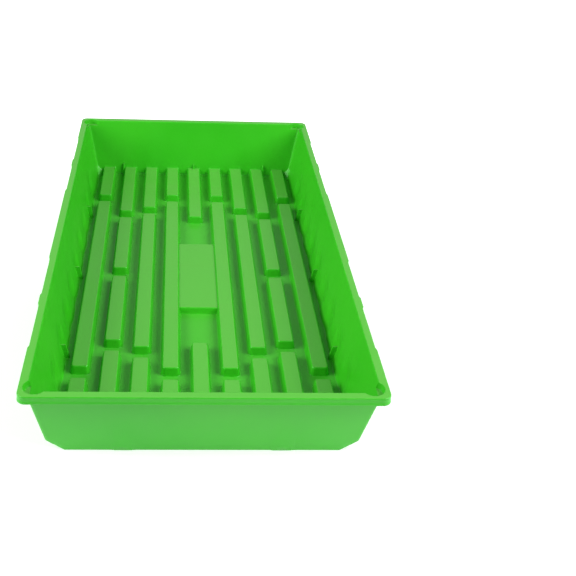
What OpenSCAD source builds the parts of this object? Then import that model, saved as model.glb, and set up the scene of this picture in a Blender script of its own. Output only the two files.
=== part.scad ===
// Seedling and propagation tray, the size that gardeners call 10 by 20.
// One thin-walled moulding: a closed box with leaning walls, a rim with a turned-down skirt,
// and a floor of hollow raised ribs with water channels between them.
// Millimetres. X is across, Y is along, Z is up. The tray stands on z = 0.

/* [Overall size] */
// Overall length, along Y
tray_len = 540; // [500:1:600]
// Overall width, along X
tray_w = 280; // [270:1:340]
// Overall height
tray_h = 68; // [50:1:80]
// Thickness of the walls, floor, rim and ribs
wall_t = 1.8; // [1.4:0.1:2.2]
// Lean of the four walls away from upright, in degrees
wall_draft = 10; // [8:0.5:11]

/* [Rim] */
// How far the rim reaches past the top of the walls
rim_overhang = 6; // [5.5:0.5:8]
// Depth of the turned-down skirt, measured from the top of the rim
skirt_h = 6.8; // [5:0.2:10]
// Radius of the rim's outer corners
rim_r = 7; // [5:0.5:10]
// Bevel around the opening, where the rim turns down into the walls
opening_bevel = 1; // [0.4:0.1:1.4]
// How far the long sides of the skirt step in between the proud pads
step_in = 1; // [0.4:0.1:1.4]
// Half length of the proud pad in the middle of each long side
pad_mid = 70; // [50:1:90]
// Where the small proud tab on each long side starts, from the middle
tab_start = 131; // [110:1:135]
// Length of the small proud tab
tab_len = 16; // [10:1:24]
// Where the proud corner section starts, from the middle
corner_start = 207; // [180:1:220]

/* [Corner pockets] */
// Radius of the round pocket that opens each corner of the rim
pocket_r = 8.8; // [7:0.2:9.4]
// Distance from the rim's outer edges to the middle of the pocket
pocket_inset = 13; // [12.6:0.2:14]
// Depth of the pocket below the rim
pocket_depth = 6; // [3:0.5:9]

/* [Floor ribs] */
// Spacing of the nine columns of ribs
rib_pitch = 26.5; // [25:0.1:26.8]
// Width across the flat top of a rib
rib_top_w = 14.4; // [12:0.2:15]
// Height of the ribs above the channels
rib_h = 8.5; // [6:0.5:10]
// Lean of the rib sides, in degrees
rib_draft = 10; // [6:0.5:12]
// Bevel along the top edges of the ribs
rib_bevel = 1; // [0.4:0.1:1.2]
// Gap between two ribs of a column, across their tops
rib_gap = 15.6; // [13:0.2:18]
// Middle of the end gap in the outermost columns, from the middle of the tray
gap_outer = 165.8; // [155:0.2:175]
// Middle of the end gap in the second columns
gap_second = 126.4; // [115:0.2:135]
// Middle of the end gap in the third columns
gap_third = 136.4; // [125:0.2:145]
// Middle of the end gap in the fourth columns
gap_fourth = 167.5; // [155:0.2:175]
// Where the two short ribs of the middle column end, from the middle of the tray
rib_mid_end = 121.5; // [105:0.5:135]

/* [Centre plate] */
// Half length of the plain raised plate in the middle of the floor
plate_half = 62.3; // [40:0.1:80]
// How far the plate lies below the rib tops
plate_drop = 1.8; // [1.2:0.1:3]

/* [Wall details] */
// Greatest width of the shallow flutes on the long walls
flute_w = 26; // [16:1:30]
// Greatest depth of the flutes on the long walls
flute_out = 2.2; // [0.8:0.1:2.4]
// Height at which a flute on a long wall is widest and deepest
flute_mid_z = 22; // [14:1:26]
// Depth at the foot of a long-wall flute, as a share of its greatest depth
flute_foot_depth = 0.4; // [0.2:0.1:0.9]
// Width at the foot of a long-wall flute, as a share of its greatest width
flute_foot_w = 0.7; // [0.4:0.1:1]
// Width at the top of a long-wall flute, as a share of its greatest width
flute_top_w = 0.3; // [0.2:0.1:0.8]
// Height at which a flute on a long wall runs out into the wall
flute_h = 34; // [30:1:40]
// Spacing of the flutes on the long walls
flute_pitch = 44.5; // [40:0.5:48]
// Flutes on each side of the middle one on the long walls
flutes_half = 4; // [2:1:4]
// Width of the two flutes on each end wall
flute_end_w = 20; // [14:1:26]
// Width at the top of the flutes on the end walls, as a share of that width
flute_end_top_w = 0.8; // [0.4:0.1:1]
// Depth at the foot of the flutes on the end walls
flute_end_out = 1.1; // [0.5:0.1:1.4]
// Height at which a flute on an end wall runs out into the wall
flute_end_h = 30; // [24:1:40]
// Distance of the two flutes of an end wall from its middle
flute_end_x = 63; // [50:1:75]
// Height of the small gusset fins at the foot of the walls
fin_h = 15.4; // [13:0.2:20]
// How far a gusset fin stands out from the wall
fin_out = 3.3; // [2:0.1:4]
// Thickness of a gusset fin
fin_t = 1.6; // [1.2:0.1:2.4]
// Distance of the outer fins of an end wall from its middle
fin_end_x = 88; // [80:0.5:95]
// Size of the slanted facet that cuts off each bottom corner
facet = 12.5; // [8:0.5:14]

/* [Hidden] */
$fn = 64;
COLUMNS = 9;
// On the long walls a fin stands in the middle flute and in every third one from it.
FLUTES_PER_FIN = 3;
slope = tan(wall_draft);
rib_slope = tan(rib_draft);
wall_level_t = wall_t / cos(wall_draft);
half_w = tray_w / 2;
half_len = tray_len / 2;
base_x = half_w - rim_overhang - slope * tray_h;
base_y = half_len - rim_overhang - slope * tray_h;
rib_top = wall_t + rib_h;
plate_top = rib_top - plate_drop;
edge_col = (COLUMNS - 1) / 2;
over = 1;
// The facet meets the corner of two walls as high up as it is long on the floor.
facet_rise = facet / (2 * slope * facet + facet);
facet_tilt = atan(facet_rise * sqrt(2));

// Half size of the outer body at height z, from its half size on the floor.
function out_at(base, z) = base + slope * z;

// Half size of the inside at height z.
function in_at(base, z) = out_at(base, z) - wall_level_t;

// A box between two heights that widens upwards by lean; bx and by are its half sizes at z = 0.
module leaning_box(bx, by, z0, z1, lean) {
    intersection() {
        rotate([90, 0, 0])
            linear_extrude(height = 4 * half_len, center = true)
                leaning_profile(bx, z0, z1, lean);
        rotate([90, 0, 90])
            linear_extrude(height = 4 * half_w, center = true)
                leaning_profile(by, z0, z1, lean);
    }
}

// One upright section of a leaning box.
module leaning_profile(base, z0, z1, lean) {
    polygon([
        [-base - lean * z0, z0],
        [base + lean * z0, z0],
        [base + lean * z1, z1],
        [-base - lean * z1, z1]
    ]);
}

// The material outside one slanted bottom-corner facet; inset shifts it inwards.
module corner_cut(bx, by, inset) {
    reach = 6 * facet;
    for (sx = [-1, 1])
        for (sy = [-1, 1])
            translate([sx * (bx - facet / 2), sy * (by - facet / 2), 0])
                rotate([0, 0, atan2(sy, sx)])
                    rotate([0, -facet_tilt, 0])
                        translate([-reach / 2, -reach, inset - reach])
                            cube([reach, 2 * reach, reach]);
}

// Outside of the body, with its bottom corners cut off.
module outer_body() {
    difference() {
        leaning_box(base_x, base_y, 0, tray_h - wall_t / 2, slope);
        corner_cut(base_x, base_y, 0);
    }
}

// Space inside the tray, from the floor up through the rim.
module cavity() {
    difference() {
        leaning_box(base_x - wall_level_t, base_y - wall_level_t, wall_t, tray_h + over, slope);
        corner_cut(base_x, base_y, wall_t);
    }
    bevel_z = tray_h - opening_bevel;
    bevel_x = in_at(base_x, bevel_z) - bevel_z;
    bevel_y = in_at(base_y, bevel_z) - bevel_z;
    leaning_box(bevel_x, bevel_y, bevel_z, tray_h + over, 1);
}

// Rounded rectangle with half sizes hx, hy and corner radius r.
module rounded_outline(hx, hy, r) {
    square([2 * hx, 2 * (hy - r)], center = true);
    square([2 * (hx - r), 2 * hy], center = true);
    for (sx = [-1, 1])
        for (sy = [-1, 1])
            translate([sx * (hx - r), sy * (hy - r)])
                circle(r = r);
}

// Outline of the rim: the long sides step in between the proud pads, tabs and corners.
module rim_outline(inset) {
    tab_end = tab_start + tab_len;
    difference() {
        rounded_outline(half_w - inset, half_len - inset, rim_r - inset);
        for (sx = [-1, 1])
            for (sy = [-1, 1])
                for (span = [
                    [pad_mid + inset, tab_start - inset],
                    [tab_end + inset, corner_start - inset]
                ])
                    translate([sx * (half_w - inset - step_in / 2), sy * (span[0] + span[1]) / 2])
                        square([step_in, span[1] - span[0] + 4 * inset], center = true);
    }
}

// Flange and skirt as one turned-down rim.
module rim() {
    difference() {
        translate([0, 0, tray_h - skirt_h])
            linear_extrude(height = skirt_h)
                rim_outline(0);
        translate([0, 0, tray_h - skirt_h - over])
            linear_extrude(height = skirt_h - wall_t + over)
                rim_outline(wall_t);
    }
}

// Places its child at the middle of each corner pocket.
module at_pockets() {
    for (sx = [-1, 1])
        for (sy = [-1, 1])
            translate([sx * (half_w - pocket_inset), sy * (half_len - pocket_inset), 0])
                children();
}

// Cups that carry the four corner pockets.
module pocket_cups() {
    at_pockets()
        translate([0, 0, tray_h - pocket_depth - wall_t])
            cylinder(r = pocket_r + wall_t, h = pocket_depth + wall_t / 2);
}

// The pockets' own space.
module pockets() {
    at_pockets()
        translate([0, 0, tray_h - pocket_depth])
            cylinder(r = pocket_r, h = pocket_depth + over);
}

// A shallow swelling of a wall whose foot lies at base: outs are its depths at the foot and at mid_z,
// shares are its widths at the foot and at the top as shares of its width at mid_z.
module flute(base, foot, width, outs, shares, mid_z, top_z) {
    intersection() {
        rotate([90, 0, 0])
            linear_extrude(height = width, center = true)
                polygon([
                    [out_at(base, foot) - wall_t / 2, foot],
                    [out_at(base, foot) + outs[0], foot],
                    [out_at(base, mid_z) + outs[1], mid_z],
                    [out_at(base, top_z), top_z],
                    [out_at(base, top_z) - wall_t / 2, top_z]
                ]);
        rotate([90, 0, 90])
            linear_extrude(height = 2 * half_len)
                polygon([
                    [-width / 2 * shares[0], foot],
                    [width / 2 * shares[0], foot],
                    [width / 2, mid_z],
                    [width / 2 * shares[1], top_z],
                    [-width / 2 * shares[1], top_z],
                    [-width / 2, mid_z]
                ]);
    }
}

// All flutes, for walls whose feet lie at bx and by. They are narrower inside than outside.
module flutes(bx, by, foot, narrower) {
    for (side = [0, 180])
        rotate([0, 0, side]) {
            for (i = [-flutes_half:flutes_half])
                translate([0, i * flute_pitch, 0])
                    flute(bx, foot, flute_w - narrower, [flute_out * flute_foot_depth, flute_out],
                        [flute_foot_w, flute_top_w], flute_mid_z, flute_h);
            for (sx = [-1, 1])
                translate([sx * flute_end_x, 0, 0])
                    rotate([0, 0, 90])
                        flute(by, foot, flute_end_w - narrower, [flute_end_out, flute_end_out / 2],
                            [1, flute_end_top_w], flute_end_h / 2, flute_end_h);
        }
}

// Profile along the tray of a rib between ya and yb at its top, leaning by slopes sa and sb.
module rib_length_profile(ya, yb, sa, sb, top, foot, bevel) {
    polygon([
        [ya - sa * (top - foot), foot],
        [yb + sb * (top - foot), foot],
        [yb + sb * bevel, top - bevel],
        [yb - bevel, top],
        [ya + bevel, top],
        [ya - sa * bevel, top - bevel]
    ]);
}

// A raised bar: flat top from ya to yb and half width hw, its foot at z = foot.
module bar(hw, ya, yb, sa, sb, top, foot, bevel) {
    spread = rib_slope * (top - foot);
    intersection() {
        rotate([90, 0, 90])
            linear_extrude(height = 4 * (hw + spread), center = true)
                rib_length_profile(ya, yb, sa, sb, top, foot, bevel);
        rotate([90, 0, 0])
            linear_extrude(height = 2 * tray_len, center = true)
                polygon([
                    [-hw - spread, foot],
                    [hw + spread, foot],
                    [hw + rib_slope * bevel, top - bevel],
                    [hw - bevel, top],
                    [-hw + bevel, top],
                    [-hw - rib_slope * bevel, top - bevel]
                ]);
    }
}

// The gaps of each column, by its distance from the middle column.
function gaps(column) =
    column == 4 ? [-gap_outer, gap_outer] :
    column == 3 ? [-gap_second, 0, gap_second] :
    column == 2 ? [-gap_third, gap_third] :
    [-gap_fourth, gap_fourth];

// Top ends of the free ribs of a column, between its gaps.
function free_ribs(column) = let (g = gaps(column))
    [for (i = [0:len(g) - 2]) [g[i] + rib_gap / 2, g[i + 1] - rib_gap / 2]];

// Where the ribs that run into the end walls begin, from the middle of the tray.
function wall_rib_start(column) =
    column == 0 ? rib_mid_end : gaps(column)[len(gaps(column)) - 1] + rib_gap / 2;

// Solid ribs, before they are hollowed from below.
module ribs() {
    foot = wall_t / 2;
    into = in_at(base_y, rib_top) + wall_level_t / 2;
    for (i = [-edge_col:edge_col])
        translate([i * rib_pitch, 0, 0]) {
            if (i != 0)
                for (r = free_ribs(abs(i)))
                    bar(rib_top_w / 2, r[0], r[1], rib_slope, rib_slope, rib_top, foot, rib_bevel);
            for (side = [0, 180])
                rotate([0, 0, side])
                    bar(rib_top_w / 2, wall_rib_start(abs(i)), into, rib_slope, -slope,
                        rib_top, foot, rib_bevel);
        }
}

// Space under the ribs: the same shapes one wall thickness smaller, open below.
module rib_hollows() {
    top = rib_top - wall_t;
    side_t = wall_t / cos(rib_draft);
    inner_hw = rib_top_w / 2 + rib_slope * wall_t - side_t;
    shift = side_t - rib_slope * wall_t;
    for (i = [-edge_col:edge_col]) {
        end_y = base_y - wall_t - (abs(i) == edge_col ? facet / 2 : 0) - over;
        translate([i * rib_pitch, 0, 0]) {
            if (i != 0)
                for (r = free_ribs(abs(i)))
                    bar(inner_hw, r[0] + shift, r[1] - shift, rib_slope, rib_slope,
                        top, -over, rib_bevel / 2);
            for (side = [0, 180])
                rotate([0, 0, side])
                    bar(inner_hw, wall_rib_start(abs(i)) + shift, end_y, rib_slope, 0,
                        top, -over, rib_bevel / 2);
        }
    }
}

// Plain raised plate between the two ribs beside the middle column.
module plate() {
    foot = wall_t / 2;
    bar(rib_pitch - rib_top_w / 2, -plate_half, plate_half, rib_slope, rib_slope,
        plate_top, foot, rib_bevel);
}

// Space under the plate.
module plate_hollow() {
    top = plate_top - wall_t;
    side_t = wall_t / cos(rib_draft);
    shift = side_t - rib_slope * wall_t;
    foot_hw = rib_pitch - rib_top_w / 2 - rib_slope * rib_h - side_t / 2 - wall_t / 2;
    bar(foot_hw - rib_slope * (top + over), -plate_half + shift, plate_half - shift,
        rib_slope, rib_slope, top, -over, rib_bevel / 2);
}

// A thin gusset fin standing on the floor against the wall at distance base, its root into the wall.
module fin(base, root) {
    rotate([90, 0, 0])
        linear_extrude(height = fin_t, center = true)
            polygon([
                [in_at(base, 0) + root, wall_t / 2],
                [in_at(base, fin_h) + root, fin_h],
                [in_at(base, fin_h) - fin_out, fin_h],
                [in_at(base, wall_t / 2) - fin_out, wall_t / 2]
            ]);
}

// Twelve fins: three on each wall.
module fins() {
    for (side = [0, 180])
        rotate([0, 0, side]) {
            for (i = [-1, 0, 1])
                translate([0, i * FLUTES_PER_FIN * flute_pitch, 0])
                    fin(base_x, flute_out + wall_t / 4);
            for (sx = [-1, 0, 1])
                translate([sx * fin_end_x, 0, 0])
                    rotate([0, 0, 90])
                        fin(base_y, wall_t / 2);
        }
}

// The whole moulding.
module tray() {
    color([0.25, 0.70, 0.20])
        difference() {
            union() {
                difference() {
                    union() {
                        outer_body();
                        flutes(base_x, base_y, 0, 0);
                        rim();
                        pocket_cups();
                    }
                    cavity();
                    flutes(base_x - wall_level_t, base_y - wall_level_t, wall_t, 2 * wall_t);
                    pockets();
                }
                intersection() {
                    outer_body();
                    union() {
                        ribs();
                        plate();
                        fins();
                    }
                }
            }
            rib_hollows();
            plate_hollow();
        }
}

tray();
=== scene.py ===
"""Seedling tray: one green plastic moulding with a ribbed floor, on a white studio table."""
import math

import bpy
import numpy as np
from mathutils import Matrix, Vector


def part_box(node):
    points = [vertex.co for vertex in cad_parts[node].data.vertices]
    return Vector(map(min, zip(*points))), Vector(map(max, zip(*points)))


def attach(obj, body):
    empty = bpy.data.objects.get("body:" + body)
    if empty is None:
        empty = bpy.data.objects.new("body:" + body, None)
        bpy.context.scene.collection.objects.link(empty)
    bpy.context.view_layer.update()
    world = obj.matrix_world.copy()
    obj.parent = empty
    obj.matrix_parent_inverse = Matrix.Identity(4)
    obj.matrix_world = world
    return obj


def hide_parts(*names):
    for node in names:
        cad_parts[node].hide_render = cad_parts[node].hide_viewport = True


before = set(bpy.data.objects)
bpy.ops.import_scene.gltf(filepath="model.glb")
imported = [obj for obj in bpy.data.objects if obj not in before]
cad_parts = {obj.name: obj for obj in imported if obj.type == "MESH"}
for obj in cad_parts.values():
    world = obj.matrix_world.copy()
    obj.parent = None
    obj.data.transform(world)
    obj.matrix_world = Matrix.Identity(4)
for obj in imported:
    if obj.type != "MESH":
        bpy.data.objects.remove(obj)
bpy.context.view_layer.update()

MM = 0.001

# The tray's outer size comes from the frame. Its details are in millimetres, as on its drawing.
low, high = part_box("tray")
HALF_W = (high.x - low.x) / 2 / MM
HALF_LEN = (high.y - low.y) / 2 / MM
HEIGHT = (high.z - low.z) / MM

# Walls. BASE_X and BASE_Y are where their outer faces meet the table.
WALL = 1.8
WALL_ANGLE = math.radians(10)
LEAN = math.tan(WALL_ANGLE)
WALL_LEVEL = WALL / math.cos(WALL_ANGLE)
RIM_OVERHANG = 6.0
BASE_X = HALF_W - RIM_OVERHANG - LEAN * HEIGHT
BASE_Y = HALF_LEN - RIM_OVERHANG - LEAN * HEIGHT
CORNER_SOFTNESS = 2.5
FACET = 12.5
OPENING_EDGE = 1.3
UNDER_RIM_EDGE = 1.2
WALL_FOOT = 1.6

# The rim and its turned-down skirt, which steps in between proud pads and tabs.
RIM_RADIUS = 7.0
RIM_EDGE = 0.8
SKIRT_DEPTH = 6.8
SKIRT_DRAFT = 0.3
LIP = 0.45
LIP_HEIGHT = 1.4
STEP_IN = 1.0
STEP_RAMP = 3.0
PAD_MIDDLE = 70.0
TAB = (131.0, 147.0)
PAD_CORNER = 207.0
POCKET_INSET = 13.0
POCKET_RADIUS = 8.8
POCKET_DEPTH = 6.0
POCKET_FLARE = 0.7
POCKET_SIDES = 96

# Ribs. GAPS holds the middles of the gaps in a column, by the column's distance from the middle.
PITCH = 26.5
RIB_HALF = 7.2
RIB_TOP = 10.3
RIB_EDGE = 1.4
RIB_PLAN_RADIUS = 2.6
RIB_FOOT = 0.6
RIB_GAP = 15.6
RIB_INTO_WALL = 20.0
MERGE = 2.5
GAPS = {1: (-167.5, 167.5), 2: (-136.4, 136.4), 3: (-126.4, 0.0, 126.4), 4: (-165.8, 165.8)}
MIDDLE_RIB_END = 121.5
PLATE_HALF_LEN = 62.3
PLATE_TOP = 8.5
HOLLOW_TO_WALL = 0.7

# Flutes and fins on the walls.
FLUTE_PITCH = 44.5
FLUTE_COUNT_HALF = 4
FLUTE_HALF = 13.0
FLUTE_OUT = 2.2
FLUTE_FOOT_SHARE = 0.4
FLUTE_MIDDLE = 22.0
FLUTE_HEIGHT = 34.0
END_FLUTE_X = 63.0
END_FLUTE_HALF = 10.0
END_FLUTE_OUT = 1.1
END_FLUTE_HEIGHT = 30.0
FIN_HEIGHT = 15.4
FIN_OUT = 3.0
FIN_HALF = 0.6
FIN_DRAFT = 10.0
FIN_CREST = 5.0
FIN_MERGE = 0.8
FIN_END_X = 88.0
FIN_SIDE_Y = 3 * FLUTE_PITCH

# Lines of the mesh grid, as distances from an edge of each shape, close together where it bends.
RIB_LINES = (
    -1.8, -1.45, -1.18, -0.8, -0.47, -0.18, 0.04, 0.14, 0.21,
    0.7, 1.18, 1.26, 1.4, 1.65, 2.0, 2.4, 2.85, 3.35,
)
RIM_LINES = (
    0.0, 0.1, 0.3, 0.55, 0.8, 1.3, WALL, WALL + SKIRT_DRAFT,
    2.6, 3.6, 4.4, 4.9, 5.4, 6.0,
)
OPENING_LINES = (-0.8, -0.3, -0.16, 0.0, 0.25, 0.55, 0.85, 1.1, 1.4)
OUTER_TOP_LINES = (-1.0, -0.5, 0.0, 0.5, 1.0)
FIN_SLOPE_LINES = (-0.3, 0.1, 0.5, 1.2, 1.8, 2.3, 2.8, 3.3)
FIN_SIDE_LINES = (0.6, 0.9, 1.3, 1.7, 2.1, 2.6)
WALL_FOOT_LINES = (-1.8, -1.5, -1.2, -0.8, -0.4, -0.1, 0.2, 0.5, 0.7, 0.9, 1.2)
BASE_LINES = (-1.0, -0.5, -0.2, 0.0, 0.2, 0.5)
WALL_SPACING = 0.7
WIDEST_SPACING = 2.5
CLOSEST_SPACING = 0.04

# Where the two surfaces' edges are pulled in from the rim's outline: how far, and fading over what.
UPPER_PULL, UPPER_REACH = LIP, 2.0
UNDER_PULL, UNDER_REACH = 0.3, 1.2

# (height above the skirt's bottom, distance in from its outline), from the bottom up.
SKIRT_RINGS = (
    (0.1, 0.1), (0.35, 0.0), (LIP_HEIGHT, 0.05),
    (LIP_HEIGHT + 0.7, LIP), (3.2, LIP), (5.2, LIP),
)

# The photograph's viewpoint: place in metres, angles in radians, focal length in millimetres.
CAMERA_PLACE = (-0.02665, -0.76787, 0.48487)
CAMERA_YAW = 0.0627
CAMERA_PITCH = 0.5706
CAMERA_ROLL = 0.0451
CAMERA_LENS = 54.686
CAMERA_SHIFT = (0.1224, 0.0005)

# Looks. Roughness stays above 0.28, because the denoiser draws outlines where it crosses 0.274.
PLASTIC_DEEP = (0.034, 0.48, 0.010)
PLASTIC_PALE = (0.046, 0.52, 0.014)
# Painted sheen: the whitish reflection of the lights on level faces, painted into their colour.
PLASTIC_PAINTED_SHEEN = (0.110, 0.475, 0.056)
ROUGHNESS = (0.285, 0.37)
MARK_STRENGTH = 0.12
CREASE_ANGLE = math.radians(40)

# Studio, in metres. The table glows a little, painted light brightest around the tray, and its colour
# fades to a painted dim shade in front of the tray.
SOFTBOX_SIZE = 1.25
SOFTBOX_DISTANCE = 1.8
ROOM_LIGHT = 0.2
FLOOR_REACH = 8
FLOOR_WHITE = 0.66
FLOOR_DIM = 0.09
FLOOR_FADE = 0.45
FLOOR_FRONT = -0.41
FLOOR_GLOW = 0.5
BACK_GLOW = 0.6
BACK_GLOW_START = -0.1
BACK_GLOW_END = 0.6


def smooth_max(a, b, width):
    """The larger of two heights, with the crease between them rounded over."""
    near = np.maximum(width - np.abs(a - b), 0) / width
    return np.maximum(a, b) + near * near * width / 4


def smooth_min(a, b, width):
    """The smaller of two heights, with the crease between them rounded over."""
    return -smooth_max(-a, -b, width)


def blend(a, b):
    """The larger of two heights above the floor, with the crease between them rounded over."""
    width = np.clip(np.minimum(a, b) - WALL, 0.01, MERGE)
    near = np.maximum(width - np.abs(a - b), 0) / width
    return np.maximum(a, b) + near * near * width / 4


def bank(d, low_z, high_z, edge, foot=0.0):
    """Height at distance d outwards from the upper edge of a raised shape with leaning sides.

    The upper edge is rounded over with radius edge, and the foot is filled with radius foot.
    """
    bend = math.tan((math.pi / 2 - WALL_ANGLE) / 2)
    upright = math.cos(WALL_ANGLE)
    z = high_z - d / LEAN
    across = np.clip(d + edge * bend, 0, edge * upright)
    over_arc = high_z - edge + np.sqrt(edge * edge - across * across)
    z = np.where(d < edge * (upright - bend), over_arc, z)
    z = np.where(d < -edge * bend, high_z, z)
    if foot:
        arc_end = (high_z - low_z) * LEAN + foot * bend
        across = np.clip(arc_end - d, 0, foot * upright)
        foot_arc = low_z + foot - np.sqrt(foot * foot - across * across)
        z = np.where(d > arc_end - foot * upright, foot_arc, z)
    return np.maximum(z, low_z)


def box_distance(x, y, half_x, half_y, radius):
    """Distance outside a rectangle with rounded corners; negative inside."""
    qx = np.abs(x) - half_x + radius
    qy = np.abs(y) - half_y + radius
    outside = np.hypot(np.maximum(qx, 0), np.maximum(qy, 0))
    return outside + np.minimum(np.maximum(qx, qy), 0) - radius


def rib_spans(column):
    """(start, end) along Y of each rib in a column, by its distance from the middle column."""
    wall_end = BASE_Y + RIB_INTO_WALL
    if column == 0:
        return [(-wall_end, -MIDDLE_RIB_END), (MIDDLE_RIB_END, wall_end)]
    edges = [-wall_end]
    for gap in GAPS[column]:
        edges += [gap - RIB_GAP / 2, gap + RIB_GAP / 2]
    edges.append(wall_end)
    return list(zip(edges[0::2], edges[1::2]))


def flute_swell(x, y, z):
    """How far the walls stand outwards at the flutes, at a point on a wall at height z."""
    on_side = (BASE_X - np.abs(x)) < (BASE_Y - np.abs(y))
    above = np.maximum(z - FLUTE_MIDDLE, 0) / (FLUTE_HEIGHT - FLUTE_MIDDLE)
    nearest = np.clip(np.round(y / FLUTE_PITCH), -FLUTE_COUNT_HALF, FLUTE_COUNT_HALF)
    across = (y - nearest * FLUTE_PITCH) / FLUTE_HALF
    depth = FLUTE_FOOT_SHARE + (1 - FLUTE_FOOT_SHARE) * np.clip(z / FLUTE_MIDDLE, 0, 1)
    side = FLUTE_OUT * depth * np.clip(1 - across ** 2 - above ** 2, 0, 1)
    across = (np.abs(x) - END_FLUTE_X) / END_FLUTE_HALF
    depth = np.clip(1 - z / END_FLUTE_HEIGHT, 0, 1)
    end = END_FLUTE_OUT * depth * np.clip(1 - across ** 2, 0, 1)
    return np.where(on_side, side, end)


def wall_height(x, y, base_x, base_y, low_z, high_z, edge, foot=0.0):
    """Height of one face of the four walls, whose feet at z = 0 lie at base_x and base_y."""
    inward = smooth_min(base_x - np.abs(x), base_y - np.abs(y), CORNER_SOFTNESS)
    d = inward + LEAN * high_z
    z = bank(d, low_z, high_z, edge, foot)
    for _ in range(3):
        z = bank(d + flute_swell(x, y, z), low_z, high_z, edge, foot)
    return z


def facet_height(x, y, depth):
    """Height of the slanted planes across the bottom corners, depth inside the outer ones."""
    rise = 1 / (1 + 2 * LEAN)
    shift = depth * math.sqrt(1 + 2 * rise * rise)
    return rise * (np.abs(x) - BASE_X + np.abs(y) - BASE_Y + FACET) + shift


def rib_height(x, y, inset, top, low_z, foot=0.0):
    """Height of all ribs, or with an inset the plastic's thickness wide, of the hollows under them."""
    z = np.full_like(x, low_z)
    radius = RIB_PLAN_RADIUS - inset / 2
    for column in range(-4, 5):
        for start, end in rib_spans(abs(column)):
            along = y - (start + end) / 2
            half_len = (end - start) / 2 - inset
            d = box_distance(x - column * PITCH, along, RIB_HALF - inset, half_len, radius)
            z = np.maximum(z, bank(d, low_z, top, RIB_EDGE, foot))
    return z


def fin_height(x, y):
    """The gusset fins at the foot of the walls."""
    z = np.full_like(x, -1.0)
    for along, across, base, places in (
        (np.abs(x), y, BASE_X, (-FIN_SIDE_Y, 0.0, FIN_SIDE_Y)),
        (np.abs(y), x, BASE_Y, (-FIN_END_X, 0.0, FIN_END_X)),
    ):
        foot = base - WALL_LEVEL - FIN_OUT
        slope = smooth_min((along - foot) / LEAN, np.full_like(x, FIN_HEIGHT), FIN_CREST)
        for place in places:
            sides = FIN_HEIGHT - np.maximum(np.abs(across - place) - FIN_HALF, 0) * FIN_DRAFT
            z = np.maximum(z, np.minimum(slope, sides))
    return z


def top_height(x, y, inset):
    """Upper surface of the moulding. inset is the distance in from the rim's outline."""
    inner_x, inner_y = BASE_X - WALL_LEVEL, BASE_Y - WALL_LEVEL
    z = wall_height(x, y, inner_x, inner_y, WALL, HEIGHT, OPENING_EDGE, WALL_FOOT)
    z = smooth_max(z, facet_height(x, y, WALL), MERGE)
    z = blend(z, rib_height(x, y, 0, RIB_TOP, WALL, RIB_FOOT))
    plate = box_distance(x, y, PITCH, PLATE_HALF_LEN, RIB_PLAN_RADIUS)
    z = np.maximum(z, bank(plate, WALL, PLATE_TOP, RIB_EDGE, RIB_FOOT))
    z = smooth_max(z, fin_height(x, y), FIN_MERGE)
    z = np.minimum(z, HEIGHT)
    edge = np.clip(RIM_EDGE - inset, 0, RIM_EDGE)
    return z - RIM_EDGE + np.sqrt(RIM_EDGE ** 2 - edge ** 2)


def under_height(x, y, inset):
    """Lower surface of the moulding, with the hollow ribs open below."""
    flange = HEIGHT - WALL
    walls = wall_height(x, y, BASE_X, BASE_Y, 0.0, flange, UNDER_RIM_EDGE)
    z = np.maximum(walls, facet_height(x, y, 0))
    slack = WALL_LEVEL - LEAN * WALL
    inside = np.minimum(BASE_X - np.abs(x), BASE_Y - np.abs(y)) > WALL + HOLLOW_TO_WALL
    hollows = rib_height(x, y, slack, RIB_TOP - WALL, 0.0)
    plate = box_distance(x, y, PITCH - RIB_HALF - WALL, PLATE_HALF_LEN - slack, RIB_PLAN_RADIUS / 2)
    hollows = np.maximum(hollows, bank(plate, 0.0, PLATE_TOP - WALL, RIB_EDGE))
    clear = facet_height(x, y, WALL * 1.5) < 0
    z = np.where(inside & clear, np.maximum(z, hollows), z)
    z = np.minimum(z, flange)
    skirt_bottom = HEIGHT - SKIRT_DEPTH
    skirt_inner = skirt_bottom + np.maximum(inset - WALL, 0) / SKIRT_DRAFT * (SKIRT_DEPTH - WALL)
    return np.where(inset < RIM_OVERHANG - 1, np.minimum(skirt_inner, flange), z)


def fill(lines, widest):
    """Sorted grid lines, with more put in where two are further apart than widest."""
    lines = sorted(set(round(v, 3) for v in lines))
    kept = [lines[0]]
    for line in lines[1:]:
        if line - kept[-1] < CLOSEST_SPACING:
            continue
        steps = math.ceil((line - kept[-1]) / widest)
        start = kept[-1]
        kept += [start + (line - start) * i / steps for i in range(1, steps + 1)]
    return kept


def wall_lines(base, half):
    """Grid lines across one wall and the rim above it."""
    lines = [half - inset for inset in RIM_LINES]
    opening = base - WALL_LEVEL + LEAN * HEIGHT
    lines += [opening + offset for offset in OPENING_LINES]
    outer_top = base + LEAN * (HEIGHT - WALL)
    lines += [outer_top + offset for offset in OUTER_TOP_LINES]
    foot = base - WALL_LEVEL
    lines += [foot - FIN_OUT + offset for offset in FIN_SLOPE_LINES]
    lines += [foot + offset for offset in WALL_FOOT_LINES]
    lines += [base + offset for offset in BASE_LINES]
    lines += list(np.arange(base - FACET - 1, base + LEAN * HEIGHT, WALL_SPACING))
    return lines


def mirrored(lines):
    """Grid lines from 0 upwards, with their mirror images put before them."""
    return np.array([-v for v in lines[:0:-1]] + lines)


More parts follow.
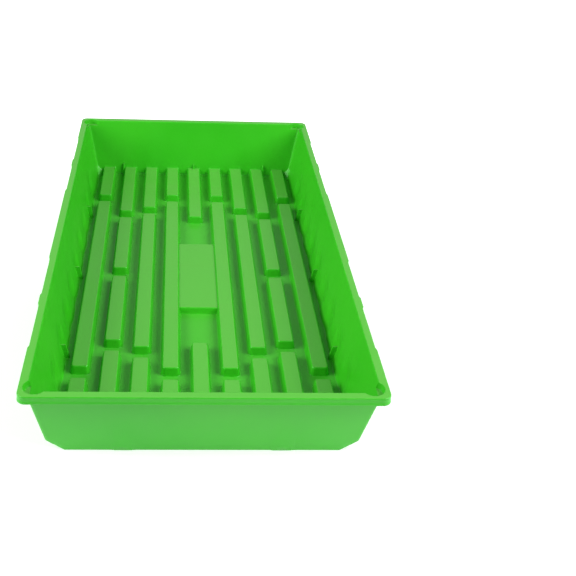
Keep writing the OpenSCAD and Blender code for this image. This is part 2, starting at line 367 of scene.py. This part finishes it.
def grid_lines():
    """The grid lines along X and Y of the whole moulding."""
    xs, ys = [0.0], [0.0]
    for column in range(5):
        for side in (-1, 1):
            xs += [column * PITCH + side * (RIB_HALF + offset) for offset in RIB_LINES]
        for start, end in rib_spans(column):
            ys += [end + offset for offset in RIB_LINES]
            ys += [start - offset for offset in RIB_LINES]
    ys += [PLATE_HALF_LEN + offset for offset in RIB_LINES]
    for side in (-1, 1):
        for offset in FIN_SIDE_LINES:
            xs += [place + side * offset for place in (0.0, FIN_END_X)]
            ys += [place + side * offset for place in (0.0, FIN_SIDE_Y)]
    for place in (PAD_MIDDLE, *TAB, PAD_CORNER):
        ys += [place - STEP_RAMP / 2, place + STEP_RAMP / 2]
    wall_x, wall_y = wall_lines(BASE_X, HALF_W), wall_lines(BASE_Y, HALF_LEN)
    xs = [x for x in xs if 0 <= x < min(wall_x)] + wall_x
    ys = [y for y in ys if 0 <= y < min(wall_y)] + wall_y
    return mirrored(fill(xs, WIDEST_SPACING)), mirrored(fill(ys, WIDEST_SPACING))


def step_in(y):
    """How far the long sides of the rim step in at a place along the tray."""
    def ramp(edge):
        """A step from 0 to 1 at an edge, on both halves of the tray."""
        return np.clip((np.abs(y) - edge) / STEP_RAMP + 0.5, 0, 1)

    return STEP_IN * (ramp(PAD_MIDDLE) - ramp(TAB[0]) + ramp(TAB[1]) - ramp(PAD_CORNER))


def bend_to_rim(gx, gy):
    """Bends the square grid to the rim's outline.

    Gives each point's place, its distance in from the outline and the direction outwards.
    """
    cx, cy = HALF_W - RIM_RADIUS, HALF_LEN - RIM_RADIUS
    u, v = np.abs(gx) - cx, np.abs(gy) - cy
    corner = (u > 0) & (v > 0)
    reach = np.maximum(u, v)
    length = np.maximum(np.hypot(u, v), 1e-9)
    scale = np.where(corner, reach / length, 1.0)
    x = np.where(corner, cx + u * scale, np.abs(gx))
    y = np.where(corner, cy + v * scale, np.abs(gy))
    inset = np.minimum(HALF_W - x, HALF_LEN - y)
    inset = np.where(corner, RIM_RADIUS - reach, inset)
    side = HALF_W - x < HALF_LEN - y
    out_x = np.where(corner, u / length, np.where(side, 1.0, 0.0))
    out_y = np.where(corner, v / length, np.where(side, 0.0, 1.0))
    band = np.clip((x - (HALF_W - RIM_OVERHANG)) / RIM_OVERHANG, 0, 1)
    x = x - step_in(y) * band
    signs = np.sign(gx), np.sign(gy)
    return signs[0] * x, signs[1] * y, inset, signs[0] * out_x, signs[1] * out_y


def build_shell():
    """The moulding as one closed shell: an upper and a lower surface, and the skirt between them."""
    xs, ys = grid_lines()
    gx, gy = np.meshgrid(xs, ys)
    x, y, inset, out_x, out_y = bend_to_rim(gx, gy)

    def surface(height, pull, reach):
        """One surface, its edge pulled in from the outline and the points near it moved along."""
        back = pull * np.clip(1 - inset / reach, 0, 1)
        return np.stack([x - out_x * back, y - out_y * back, height(x, y, inset)], -1).reshape(-1, 3)

    rows, columns = len(ys), len(xs)
    index = np.arange(rows * columns).reshape(rows, columns)
    a, b, c, d = index[:-1, :-1], index[:-1, 1:], index[1:, 1:], index[1:, :-1]
    up = np.stack([a, b, c, d], -1).reshape(-1, 4)
    loop = np.concatenate([index[0, :-1], index[:-1, -1], index[-1, :0:-1], index[:0:-1, 0]])
    upper = surface(top_height, UPPER_PULL, UPPER_REACH)
    points = [upper, surface(under_height, UNDER_PULL, UNDER_REACH)]
    faces = [up, up[:, ::-1] + rows * columns]
    edge = np.stack([x, y], -1).reshape(-1, 2)[loop]
    outwards = np.stack([out_x, out_y], -1).reshape(-1, 2)[loop]
    bottom = HEIGHT - SKIRT_DEPTH
    below = loop + rows * columns
    for rise, back in SKIRT_RINGS:
        ring = np.column_stack([edge - outwards * back, np.full(len(loop), bottom + rise)])
        here = sum(len(part) for part in points) + np.arange(len(loop))
        points.append(ring)
        faces.append(np.stack([below, np.roll(below, -1), np.roll(here, -1), here], -1))
        below = here
    faces.append(np.stack([below, np.roll(below, -1), np.roll(loop, -1), loop], -1))
    mesh = bpy.data.meshes.new("tray_shell")
    mesh.from_pydata((np.concatenate(points) * MM).tolist(), [], np.concatenate(faces).tolist())
    mesh.update()
    return mesh


def prism(name, sides, levels):
    """A closed round or square solid around Z.

    levels are (radius or half sizes, height), from the bottom up.
    """
    turn = math.pi / sides if sides == 4 else 0.0
    points, faces = [], []
    for size, z in levels:
        half_x, half_y = size if isinstance(size, tuple) else (size, size)
        stretch = math.sqrt(2) if sides == 4 else 1.0
        for i in range(sides):
            angle = turn + 2 * math.pi * i / sides
            points.append((half_x * stretch * math.cos(angle), half_y * stretch * math.sin(angle), z))
    for level in range(len(levels) - 1):
        start = level * sides
        for i in range(sides):
            j = (i + 1) % sides
            faces.append((start + i, start + j, start + sides + j, start + sides + i))
    faces.append(tuple(range(sides - 1, -1, -1)))
    faces.append(tuple(range(len(points) - sides, len(points))))
    mesh = bpy.data.meshes.new(name)
    mesh.from_pydata([Vector(point) * MM for point in points], [], faces)
    return new_object(name, mesh)


def combine(piece, operation, other):
    """Joins another solid to a piece, or cuts it away, and removes the other solid."""
    change = piece.modifiers.new("combine", "BOOLEAN")
    change.operation = operation
    change.solver = "MANIFOLD"
    change.object = other
    bpy.context.view_layer.update()
    shaped = piece.evaluated_get(bpy.context.evaluated_depsgraph_get())
    mesh = bpy.data.meshes.new_from_object(shaped)
    piece.modifiers.clear()
    piece.data = mesh
    bpy.data.objects.remove(other)


def cut_pockets(piece):
    """The round pocket that opens each corner of the rim, with the cup that carries it."""
    flange = HEIGHT - WALL
    into_flange = 0.9
    cup_radius = POCKET_RADIUS + WALL
    into_wall = 0.6
    inner_x, inner_y = BASE_X - WALL_LEVEL + into_wall, BASE_Y - WALL_LEVEL + into_wall
    inside = [((inner_x + LEAN * z, inner_y + LEAN * z), z) for z in (HEIGHT - 28, HEIGHT + 12)]
    top = POCKET_RADIUS + POCKET_FLARE
    for sx in (-1, 1):
        for sy in (-1, 1):
            place = Vector((sx * (HALF_W - POCKET_INSET), sy * (HALF_LEN - POCKET_INSET), 0)) * MM
            cup = prism("cup", POCKET_SIDES, [
                (cup_radius, flange - POCKET_DEPTH),
                (cup_radius, flange + into_flange),
            ])
            cup.location = place
            combine(cup, "DIFFERENCE", prism("inside", 4, inside))
            combine(piece, "UNION", cup)
            pocket = prism("pocket", POCKET_SIDES, [
                (POCKET_RADIUS, HEIGHT - POCKET_DEPTH),
                (POCKET_RADIUS, HEIGHT - POCKET_FLARE),
                (POCKET_RADIUS + POCKET_FLARE * 0.3, HEIGHT - POCKET_FLARE * 0.3),
                (top, HEIGHT),
                (top, HEIGHT + 1),
            ])
            pocket.location = place
            combine(piece, "DIFFERENCE", pocket)


def new_object(name, data):
    """An object made from a mesh, light or camera, and put in the scene."""
    piece = bpy.data.objects.new(name, data)
    bpy.context.scene.collection.objects.link(piece)
    return piece


def camera():
    """The camera at the photograph's viewpoint, looking along the tray from in front."""
    ahead, down = math.cos(CAMERA_PITCH), math.sin(CAMERA_PITCH)
    forward = Vector((math.sin(CAMERA_YAW) * ahead, math.cos(CAMERA_YAW) * ahead, -down))
    level = Vector((math.cos(CAMERA_YAW), -math.sin(CAMERA_YAW), 0))
    upright = level.cross(forward)
    right = math.cos(CAMERA_ROLL) * level + math.sin(CAMERA_ROLL) * upright
    up = -math.sin(CAMERA_ROLL) * level + math.cos(CAMERA_ROLL) * upright
    data = bpy.data.cameras.new("camera")
    data.lens = CAMERA_LENS
    data.sensor_width = 36
    data.shift_x, data.shift_y = CAMERA_SHIFT
    data.dof.use_dof = False
    made = new_object("camera", data)
    facing = Matrix((right, up, -forward)).transposed().to_4x4()
    made.matrix_world = Matrix.Translation(CAMERA_PLACE) @ facing
    bpy.context.scene.camera = made


def fade(nodes, links, source, start, end, low_value, high_value):
    """A soft step from low_value to high_value as source goes from start to end."""
    made = nodes.new("ShaderNodeMapRange")
    made.interpolation_type = "SMOOTHSTEP"
    made.inputs["From Min"].default_value = start
    made.inputs["From Max"].default_value = end
    made.inputs["To Min"].default_value = low_value
    made.inputs["To Max"].default_value = high_value
    links.new(source, made.inputs["Value"])
    return made.outputs["Result"]


def maths(nodes, links, operation, a, b):
    """A sum or product of two values, each a number or a node's output."""
    made = nodes.new("ShaderNodeMath")
    made.operation = operation
    for value, socket in zip((a, b), made.inputs):
        if isinstance(value, float):
            socket.default_value = value
        else:
            links.new(value, socket)
    return made.outputs["Value"]


def plastic():
    """Moulded green plastic: slightly cloudy, uneven gloss, fine grain, faint scuff marks, and a
    painted sheen on its level faces.
    """
    material = bpy.data.materials.new("green_plastic")
    material.use_nodes = True
    nodes, links = material.node_tree.nodes, material.node_tree.links
    shader = nodes["Principled BSDF"]
    position = nodes.new("ShaderNodeTexCoord").outputs["Object"]

    def noise(scale, detail, stretch=(1, 1, 1)):
        """Noise fixed to the tray; a small stretch draws it out along that axis."""
        mapping = nodes.new("ShaderNodeMapping")
        mapping.inputs["Scale"].default_value = stretch
        links.new(position, mapping.inputs["Vector"])
        made = nodes.new("ShaderNodeTexNoise")
        made.inputs["Scale"].default_value = scale
        made.inputs["Detail"].default_value = detail
        links.new(mapping.outputs["Vector"], made.inputs["Vector"])
        return made.outputs["Fac"]

    def mix(a, b, factor):
        """A colour between two others, each given as a tuple or a node's output."""
        made = nodes.new("ShaderNodeMix")
        made.data_type = "RGBA"
        for value, name in zip((a, b), ("A", "B")):
            if isinstance(value, tuple):
                made.inputs[name].default_value = (*value, 1)
            else:
                links.new(value, made.inputs[name])
        links.new(factor, made.inputs["Factor"])
        return made.outputs["Result"]

    # Level faces get a painted sheen, a whitish reflection of the lights painted into the colour. It
    # is painted more on the rib tops and the rim than on the floor of the channels, where less light
    # reaches.
    normal = nodes.new("ShaderNodeSeparateXYZ")
    links.new(nodes.new("ShaderNodeNewGeometry").outputs["Normal"], normal.inputs["Vector"])
    height = nodes.new("ShaderNodeSeparateXYZ")
    links.new(position, height.inputs["Vector"])
    level = fade(nodes, links, normal.outputs["Z"], 0.9, 0.99, 0.0, 1.0)
    raised = fade(nodes, links, height.outputs["Z"], 4 * MM, 8 * MM, 0.35, 0.9)
    painted_sheen = maths(nodes, links, "MULTIPLY", level, raised)

    # Faint marks along and across the tray: rougher, and streaks in the painted sheen.
    along = fade(nodes, links, noise(60, 2, (1, 0.08, 1)), 0.55, 0.75, 0.0, MARK_STRENGTH)
    across = fade(nodes, links, noise(50, 2, (0.1, 1, 1)), 0.55, 0.75, 0.0, MARK_STRENGTH)
    marks = maths(nodes, links, "MULTIPLY", maths(nodes, links, "ADD", along, across), painted_sheen)

    clouds = fade(nodes, links, noise(9, 3), 0.3, 0.7, 0.0, 1.0)
    own_green = mix(PLASTIC_DEEP, PLASTIC_PALE, clouds)
    # The colour turns towards the painted sheen on level faces, streaked by the marks.
    sheen_and_marks = maths(nodes, links, "ADD", painted_sheen, marks)
    links.new(mix(own_green, PLASTIC_PAINTED_SHEEN, sheen_and_marks), shader.inputs["Base Color"])

    gloss = fade(nodes, links, noise(40, 2), 0.2, 0.8, *ROUGHNESS)
    links.new(maths(nodes, links, "ADD", gloss, marks), shader.inputs["Roughness"])

    grain = maths(nodes, links, "MULTIPLY", noise(450, 1), 0.03)
    bump = nodes.new("ShaderNodeBump")
    bump.inputs["Strength"].default_value = 0.25
    bump.inputs["Distance"].default_value = 0.35 * MM
    links.new(maths(nodes, links, "ADD", noise(55, 2), grain), bump.inputs["Height"])
    links.new(bump.outputs["Normal"], shader.inputs["Normal"])
    return material


def softbox(name, azimuth, elevation, radiance):
    """A square soft light that faces the tray. Azimuth 0 is the front, and turns towards +X."""
    around, up = math.radians(azimuth), math.radians(elevation)
    place = Vector((math.sin(around) * math.cos(up), -math.cos(around) * math.cos(up), math.sin(up)))
    data = bpy.data.lights.new(name, "AREA")
    data.shape = "SQUARE"
    data.size = SOFTBOX_SIZE
    data.energy = radiance * math.pi * SOFTBOX_SIZE ** 2
    made = new_object(name, data)
    facing = (-place).to_track_quat("-Z", "Y").to_matrix().to_4x4()
    made.matrix_world = Matrix.Translation(place * SOFTBOX_DISTANCE) @ facing


def floor():
    """A white table that glows a little, painted light brightest just in front of the tray and behind
    it, and is painted dimmer in front of the tray, beyond the picture.
    """
    corners = [(-1, -1), (1, -1), (1, 1), (-1, 1)]
    mesh = bpy.data.meshes.new("floor")
    points = [(x * FLOOR_REACH, y * FLOOR_REACH, 0) for x, y in corners]
    mesh.from_pydata(points, [], [(0, 1, 2, 3)])
    piece = new_object("floor", mesh)
    material = bpy.data.materials.new("lit_table")
    material.use_nodes = True
    nodes, links = material.node_tree.nodes, material.node_tree.links
    shader = nodes["Principled BSDF"]
    place = nodes.new("ShaderNodeSeparateXYZ")
    links.new(nodes.new("ShaderNodeNewGeometry").outputs["Position"], place.inputs["Vector"])
    along = place.outputs["Y"]
    dim_end = FLOOR_FRONT - FLOOR_FADE
    # Painted shade: the table's colour darkens in front of the tray.
    painted_dim_floor = fade(nodes, links, along, dim_end, FLOOR_FRONT, FLOOR_DIM, FLOOR_WHITE)
    links.new(painted_dim_floor, shader.inputs["Base Color"])
    # Painted light: the table glows, most just in front of the tray and behind it.
    tray_front = -HALF_LEN * MM
    front_glow = fade(nodes, links, along, FLOOR_FRONT, tray_front, ROOM_LIGHT, FLOOR_GLOW)
    back_glow = fade(nodes, links, along, BACK_GLOW_START, BACK_GLOW_END, 0.0, BACK_GLOW)
    glow = maths(nodes, links, "ADD", front_glow, back_glow)
    links.new(glow, shader.inputs["Emission Strength"])
    shader.inputs["Emission Color"].default_value = (1, 1, 1, 1)
    shader.inputs["Roughness"].default_value = 0.9
    shader.inputs["Specular IOR Level"].default_value = 0.1
    mesh.materials.append(material)


def studio():
    """A plain dim room with a softbox on each side, a weak one behind, and the table."""
    world = bpy.data.worlds.new("studio")
    world.use_nodes = True
    world.node_tree.nodes["Background"].inputs["Color"].default_value = (1, 1, 1, 1)
    world.node_tree.nodes["Background"].inputs["Strength"].default_value = ROOM_LIGHT
    bpy.context.scene.world = world
    softbox("softbox_right", azimuth=67, elevation=39, radiance=7.2)
    softbox("softbox_left", azimuth=-77, elevation=31, radiance=6.7)
    softbox("softbox_back", azimuth=180, elevation=24, radiance=0.2)
    floor()
    bpy.context.scene.view_settings.view_transform = "Standard"


camera()
studio()
tray = new_object("tray_moulding", build_shell())
cut_pockets(tray)
tray.data.materials.clear()
tray.data.materials.append(plastic())
tray.data.shade_smooth()
tray.data.set_sharp_from_angle(angle=CREASE_ANGLE)
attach(tray, "root")
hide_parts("tray")
